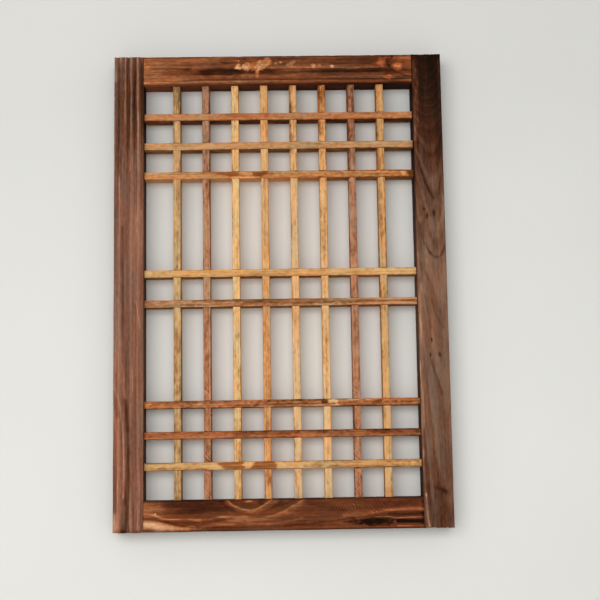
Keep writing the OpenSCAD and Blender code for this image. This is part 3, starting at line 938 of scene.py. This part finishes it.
# Wall, floor and light
# The frame hangs flat against a pale plastered wall, over a pale floor, in broad soft light from the front. The
# wall shows from the front only, and lets the light behind it reach the back of the frame.

# Painted light on the plaster: the middle of its painted pool of light, how much each metre away from it counts
# beside a metre up, and the tint of the painted shade at its darkest
PAINTED_LIGHT_SPOT = (0.08, 0, 0.25)
FALLOFF_FAR_SHARE = 0.6
PAINTED_SHADE_TINT = (0.88, 0.88, 0.885, 1)


def plaster(name, color):
    """Pale, matt plaster, faintly uneven, with painted shade that darkens it upwards and outwards from a painted
    bright spot, clear when seen from behind.
    """
    material, tree, shader, place = add_material(name)
    mottle = add_node(tree, "ShaderNodeTexNoise", {"Vector": place, "Scale": 5.0, "Detail": 3.0}).outputs[0]
    even = paint(color)
    tint = add_ramp(tree, mottle, [(0.3, [c * 0.98 for c in even]), (0.7, even)], "LINEAR")
    height = add_node(tree, "ShaderNodeSeparateXYZ", {0: place}).outputs["Z"]
    # Painted light and shade: the plaster is brightest at a painted spot and darkens away from it and upwards
    far = add_node(tree, "ShaderNodeVectorMath", {0: place, 1: PAINTED_LIGHT_SPOT}, operation="DISTANCE").outputs["Value"]
    painted_falloff_reach = add_node(tree, "ShaderNodeMath", {0: far, 1: FALLOFF_FAR_SHARE, 2: height}, operation="MULTIPLY_ADD").outputs[0]
    painted_falloff = add_ramp(tree, painted_falloff_reach, [(0.3, (1, 1, 1, 1)), (1.15, PAINTED_SHADE_TINT)], "LINEAR")
    tree.links.new(tinted(tree, tint, painted_falloff), shader.inputs["Base Color"])
    shader.inputs["Roughness"].default_value = 0.9
    clear = add_node(tree, "ShaderNodeBsdfTransparent", {})
    behind = add_node(tree, "ShaderNodeNewGeometry", {}).outputs["Backfacing"]
    seen = add_node(tree, "ShaderNodeMixShader", {0: behind, 1: shader.outputs[0], 2: clear.outputs[0]})
    tree.links.new(seen.outputs[0], tree.nodes["Material Output"].inputs["Surface"])
    return material


ROOM_REACH = 4.0


def stage_plane(name, near, far, color):
    """A flat part of the room, as wide as the room, between two edges at (y, z)."""
    mesh = bpy.data.meshes.new(name)
    corners = [(-ROOM_REACH, *near), (ROOM_REACH, *near), (ROOM_REACH, *far), (-ROOM_REACH, *far)]
    mesh.from_pydata(corners, [], [(0, 1, 2, 3)])
    mesh.materials.append(plaster(name + "_plaster", color))
    plane = add_object(name, mesh)
    return plane


FLOOR_Z = -0.6
WALL_GAP = 0.5
wall_y = cad_box[1][1] + WALL_GAP * MM
wall = stage_plane("wall", (wall_y, FLOOR_Z), (wall_y, ROOM_REACH), "eae9e4")
wall.visible_diffuse = False
wall.visible_shadow = False
stage_plane("floor", (-ROOM_REACH, FLOOR_Z), (ROOM_REACH, FLOOR_Z), "dedfda")

# Strength of the room's light from below and from above, and as the camera sees it
GLOW_BELOW, GLOW_ABOVE = 0.44, 0.56
SEEN_GLOW = 0.82
world = bpy.data.worlds.new("soft_room")
world.use_nodes = True
bpy.context.scene.world = world
sky = world.node_tree
direction = add_node(sky, "ShaderNodeTexCoord", {}).outputs["Generated"]
height = add_node(sky, "ShaderNodeSeparateXYZ", {0: direction}).outputs["Z"]
glow = add_node(sky, "ShaderNodeMapRange", {"Value": height, "From Min": -0.6, "From Max": 0.6,
                                            "To Min": GLOW_BELOW, "To Max": GLOW_ABOVE})
seen = add_node(sky, "ShaderNodeLightPath", {}).outputs["Is Camera Ray"]
level = add_node(sky, "ShaderNodeMix", {0: seen, 2: glow.outputs[0], 3: SEEN_GLOW})
sky.links.new(level.outputs[0], sky.nodes["Background"].inputs["Strength"])
sky.nodes["Background"].inputs["Color"].default_value = (1, 1, 1, 1)

# A broad lamp, in front and a little to the left: width and height, power, place and the point that it faces
LAMP_SIZE = (2.6, 1.4)
LAMP_POWER = 38
LAMP_PLACE = (-0.55, -2.5, 0.62)
LAMP_AIM = (0, 0, 0.35)
key = bpy.data.lights.new("key", "AREA")
key.shape = "RECTANGLE"
key.size, key.size_y = LAMP_SIZE
key.energy = LAMP_POWER
lamp = add_object("key", key)
lamp.location = LAMP_PLACE
lamp.rotation_euler = (Vector(LAMP_AIM) - lamp.location).to_track_quat("-Z", "Y").to_euler()

# Camera
# It stands low in front of the middle of the frame and looks up at it, rolled by a little under one degree.

CAMERA_PLACE = (0, -1.71, 0.1169)
CAMERA_TURN = (97.2, 0.9, -0.83)
FOCAL_LENGTH = 70.1
lens = bpy.data.cameras.new("camera")
lens.lens = FOCAL_LENGTH
camera = add_object("camera", lens)
camera.location = CAMERA_PLACE
camera.rotation_euler = [math.radians(a) for a in CAMERA_TURN]
bpy.context.scene.camera = camera
bpy.context.scene.view_settings.view_transform = "Standard"
